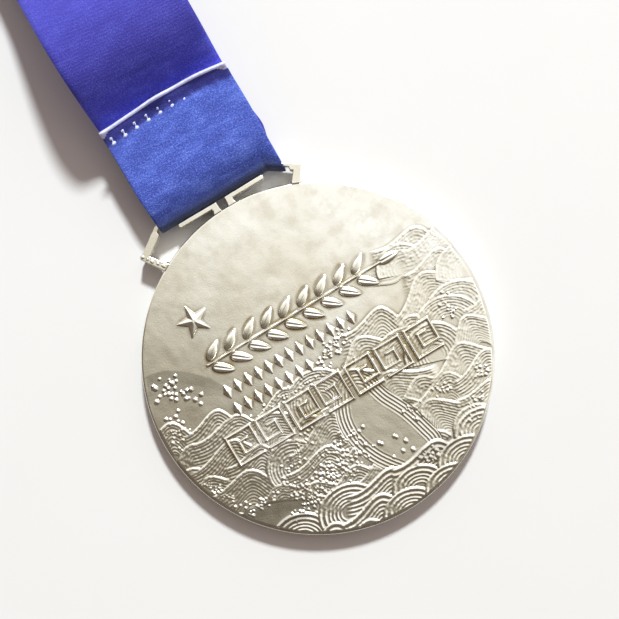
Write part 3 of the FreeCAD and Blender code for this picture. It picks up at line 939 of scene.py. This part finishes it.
def silver(name, bright, dull, rough_low, rough_high, mottle_and_painted_light):
    """Warm polished silver with a faint pebble. When asked, it also gets a random mottle, a
    painted highlight on the relief's raised edges, and painted shade in its hollows and on
    smooth water."""
    m = new_material(name)
    place = m.place()
    fine, broad = m.noise(place, 3200.0, 3.0), m.noise(place, 260.0, 4.0, 0.6)
    patches = m.noise(place, 75.0, 3.0)
    streaks = m.noise(m.scaled(place, 90.0, 34.0, 60.0), 1.0, 4.0, 0.6)
    colour = m.mix(m.remap(patches, 0.35, 0.68), bright, dull)
    colour = m.mix(m.remap(streaks, 0.45, 0.72, 0.0, 0.7), colour, dull)
    rough = m.remap(broad, 0.3, 0.7, rough_low, rough_high)
    if mottle_and_painted_light:
        colour = m.mix(m.remap(broad, 0.46, 0.64, 0.0, 0.40), colour, MOTTLE)
        hollow, smooth_water_shade = m.attribute("hollow"), m.attribute("smooth_water_shade")
        deep = m.remap(hollow, 0.0, 0.08)
        # painted shade: darker the further a point lies below its surroundings, in patches
        hollow_shade_patches = m.remap(m.noise(place, 190.0, 2.0), 0.36, 0.62, 0.42, 0.95)
        colour = m.mix(m.math("MULTIPLY", deep, hollow_shade_patches), colour, HOLLOW_SHADE)
        # painted highlight on edges that stand above their surroundings
        colour = m.mix(m.remap(hollow, -0.04, 0.0, 0.85, 0.0), colour, RIDGE_HIGHLIGHT)
        # painted shade on smooth water, in patches
        pool_shade = m.math("MULTIPLY", smooth_water_shade, m.remap(patches, 0.3, 0.6, 0.35, 0.75))
        colour = m.mix(pool_shade, colour, POOL_SHADE_COLOUR)
        rough = m.math("ADD", rough, m.math("MULTIPLY", deep, 0.15))
    normal = m.bump(m.noise(place, 240.0, 1.5), 0.00014, 0.35)
    normal = m.bump(fine, 0.000016, 0.45, normal)
    return m.finish(Base_Color=colour, Metallic=1.0, Roughness=rough, Normal=normal)


THREAD_PITCH = 0.36  # of the weave, in millimetres like the strip's UVs
# painted shade colour where the cloth turns down round the bar
FOLD_SHADE_GREY = (0.034, 0.044, 0.045)
# painted shade colour for the hem band, the back layer and the far strands
PAINTED_SHADE_BLUE = (0.030, 0.024, 0.24)


def woven(name, base, light, dark, sheen):
    """Ribbon cloth: fine crossed threads with flecks and clouds, the light flecks painted glints of
    the weave; painted shade in grey where it turns down round the bar, and painted shade in
    deeper blue on the hem band, the back layer and the strands further on."""
    m = new_material(name)
    uv = m.add("ShaderNodeUVMap")
    uv.uv_map = "strip"
    uv = uv.outputs[0]
    split = m.add("ShaderNodeSeparateXYZ", Vector=uv).outputs
    per_mm = 2 * math.pi / THREAD_PITCH
    over = m.math("SINE", m.math("MULTIPLY", split[0], per_mm))
    along = m.math("SINE", m.math("MULTIPLY", split[1], per_mm * 1.25))
    weave = m.math("MULTIPLY", over, along)
    fleck = m.noise(m.scaled(uv, 1.0, 1.5, 1.0), 2.9, 5.0, 0.78)
    blotch = m.noise(m.scaled(uv, 0.20, 0.46, 1.0), 1.0, 5.0, 0.60)
    colour = m.mix(m.remap(fleck, 0.30, 0.50, 1.0, 0.0), base, dark)
    # the light flecks are painted glints of the weave
    colour = m.mix(m.remap(fleck, 0.50, 0.70), colour, light)
    colour = m.mix(m.remap(blotch, 0.40, 0.64, 0.0, 0.46), colour, dark)
    colour = m.mix(m.remap(blotch, 0.32, 0.50, 0.13, 0.0), colour, light)
    # painted shade where the cloth turns down round the bar
    fold_shade = m.math("MULTIPLY", m.attribute("fold_shade"), m.remap(fleck, 0.3, 0.7, 0.95, 0.75))
    colour = m.mix(fold_shade, colour, FOLD_SHADE_GREY)
    # painted shade on the hem band, the back layer and the far strands
    cloth_shade = m.math("MULTIPLY", m.attribute("cloth_shade"), m.remap(fleck, 0.35, 0.65, 0.95, 0.6))
    colour = m.mix(cloth_shade, colour, PAINTED_SHADE_BLUE)
    height = m.math("ADD", m.math("MULTIPLY", weave, 0.5), m.math("MULTIPLY", fleck, 1.6))
    normal = m.bump(height, 0.00009, 0.75)
    return m.finish(Base_Color=colour, Roughness=0.62, Normal=normal, Specular_IOR_Level=0.35,
                    Sheen_Weight=sheen, Sheen_Roughness=0.35, Sheen_Tint=(0.45, 0.55, 1.0, 1.0))


def fused_edge(name):
    """Heat-cut end of the ribbon: pale, slightly glossy and uneven."""
    m = new_material(name)
    grain = m.noise(m.place(), 1600.0, 3.0)
    colour = m.mix(m.remap(grain, 0.3, 0.7), (0.62, 0.64, 0.85), (0.42, 0.44, 0.74))
    return m.finish(Base_Color=colour, Roughness=0.45, Normal=m.bump(grain, 0.00008, 0.6))


def thread(name):
    """Twisted polyester thread with a soft shine."""
    m = new_material(name)
    split = m.add("ShaderNodeSeparateXYZ", Vector=m.place()).outputs
    ply = m.math("SINE", m.math("MULTIPLY", m.math("ADD", split[0], split[1]), 22000.0))
    colour = m.mix(m.remap(ply, -1.0, 1.0), (0.36, 0.42, 0.80), (0.70, 0.76, 0.98))
    return m.finish(Base_Color=colour, Roughness=0.4, Normal=m.bump(ply, 0.00005, 0.6),
                    Sheen_Weight=0.3)


def paper(name):
    """Matt white band paper with faint fibres."""
    m = new_material(name)
    place = m.place()
    fibre, cloud = m.noise(place, 2600.0, 4.0, 0.7), m.noise(place, 160.0, 3.0)
    colour = m.mix(m.remap(cloud, 0.3, 0.7), (0.83, 0.83, 0.81), (0.74, 0.74, 0.73))
    return m.finish(Base_Color=colour, Roughness=m.remap(fibre, 0.3, 0.7, 0.7, 0.9),
                    Normal=m.bump(fibre, 0.00005, 0.4))


def matt_floor(name):
    """Plain pale floor."""
    m = new_material(name)
    grain = m.noise(m.place(), 35.0, 4.0)
    return m.finish(Base_Color=m.mix(grain, (0.57, 0.57, 0.57), (0.55, 0.55, 0.55)), Roughness=0.75)


# ---- stage, light, camera ----

CAMERA_TURN = math.radians(-31.0)  # the camera's up direction, turned from +Y
SKY_TURN = math.radians(-52.0)  # the surroundings are brightest this way from +Y


def make_camera():
    """Straight above the medal, turned so that the ribbon leaves at the upper left."""
    height, view_width = 200 * MM, 113.7 * MM
    data = bpy.data.cameras.new("camera")
    data.sensor_width = 36.0
    data.lens = data.sensor_width * (height - FIELD * MM) / view_width
    data.clip_start, data.clip_end = 0.01, 10.0
    camera = add_to_scene("camera", data)
    camera.location = (3.27 * MM, 8.49 * MM, height)
    camera.rotation_euler = (0.0, 0.0, CAMERA_TURN)
    bpy.context.scene.camera = camera


def make_floor():
    """A wide floor at the medal's back."""
    half = 1.5 / MM
    corners = [(-half, -half, 0), (half, -half, 0), (half, half, 0), (-half, half, 0)]
    floor = new_object("floor", corners, [(0, 1, 2, 3)], [matt_floor("floor_matt")])


def key_light():
    """Soft light from beyond the top of the camera's view, a little to its right."""
    distance, elevation, turn = 3.6, math.radians(41), CAMERA_TURN - math.radians(5)
    data = bpy.data.lights.new("key", "AREA")
    data.shape, data.size, data.energy = "DISK", 0.44, 232.0
    data.color = (0.945, 0.995, 1.0)
    light = add_to_scene("key", data)
    reach = distance * math.cos(elevation)
    light.location = (-math.sin(turn) * reach, math.cos(turn) * reach, distance * math.sin(elevation))
    light.rotation_euler = (-light.location).to_track_quat("-Z", "Y").to_euler()


def make_world():
    """Pale surroundings on the light's side, warm and dark on the other."""
    world = bpy.data.worlds.new("surroundings")
    bpy.context.scene.world = world
    m = Nodes(world, "Background")
    toward = m.add("ShaderNodeVectorMath")
    toward.operation = "DOT_PRODUCT"
    m.feed(toward, 0, m.add("ShaderNodeTexCoord").outputs["Generated"])
    m.feed(toward, 1, (-math.sin(SKY_TURN), math.cos(SKY_TURN), 0.0))
    ramp = m.add("ShaderNodeValToRGB", Fac=m.remap(toward.outputs["Value"], -1.0, 1.0))
    stops = ramp.color_ramp.elements  # 0 is away from the bright side, 1 towards it
    stops[0].color = (0.16, 0.125, 0.10, 1)
    stops[1].color = (0.95, 0.97, 1.0, 1)
    for position, colour in ((0.40, (0.17, 0.14, 0.105, 1)), (0.46, (0.57, 0.53, 0.43, 1)),
                             (0.505, (1.00, 0.97, 0.88, 1)), (0.56, (1.24, 1.235, 1.21, 1))):
        stops.new(position).color = colour
    path = m.add("ShaderNodeLightPath").outputs
    warmed = m.mix(path["Is Diffuse Ray"], ramp.outputs[0], (0.78, 0.66, 0.62), "MULTIPLY")
    m.finish(Color=m.mix(path["Is Camera Ray"], warmed, (0.90, 0.90, 0.91)))


# ---- assembly ----

def build():
    """Every visible piece in place of its CAD nodes; the metal, stitches and band on their bodies."""
    metal = silver("silver_plain", (0.86, 0.84, 0.78), (0.74, 0.70, 0.60), 0.20, 0.34, False)
    # only the relief gets the mottle, the painted highlight and the painted shade
    relief_metal = silver("silver_relief", (0.94, 0.94, 0.91), (0.79, 0.76, 0.67), 0.12, 0.24, True)
    face = woven("ribbon_face", (0.034, 0.070, 0.42), (0.22, 0.32, 0.85), (0.012, 0.022, 0.20), 0.35)
    # the reverse is a brighter copy of the blue cloth: partly the ribbon's own other side, partly painted
    # light that lifts the strands rising from the seam in grazing light
    reverse = woven("ribbon_reverse", (0.054, 0.060, 0.70), (0.22, 0.25, 0.95),
                    (0.022, 0.020, 0.36), 0.2)
    cloth = [face, reverse, fused_edge("ribbon_cut")]

    disc = medal_disc(relief_metal)
    bar = plate("ribbon_frame_metal", frame_outline(), BAR_LOW, BAR_HIGH, 0.16, metal)
    left = keeper("keeper_left_metal", -1, metal)
    right = keeper("keeper_right_metal", 1, metal)
    beads = solder(metal)
    loop, loop_length = ribbon_loop(cloth)
    neck, neck_length = neck_ribbon(cloth)
    stitches = seam_thread(thread("seam_thread"))
    band = hank_band(paper("band_paper"))

    stands_for = {
        disc: ["medal_disc"], bar: ["ribbon_frame"], left: ["keeper_left"],
        right: ["keeper_right"], beads: ["solder_beads"],
        loop: ["ribbon_fold", "ribbon_front_layer", "ribbon_back_layer"],
        stitches: ["seam_stitches"],
        neck: ["neck_strand_upper", "neck_strand_lower", "ribbon_hank"], band: ["hank_band"],
    }
    for piece, nodes in stands_for.items():
        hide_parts(*nodes)
    for piece in (disc, bar, left, right, beads):
        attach(piece, "medal")
    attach(stitches, "ribbon_loop")
    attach(band, "band")
    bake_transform(loop)
    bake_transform(neck)


bpy.context.scene.view_settings.view_transform = "Standard"
make_camera()
make_floor()
key_light()
make_world()
build()
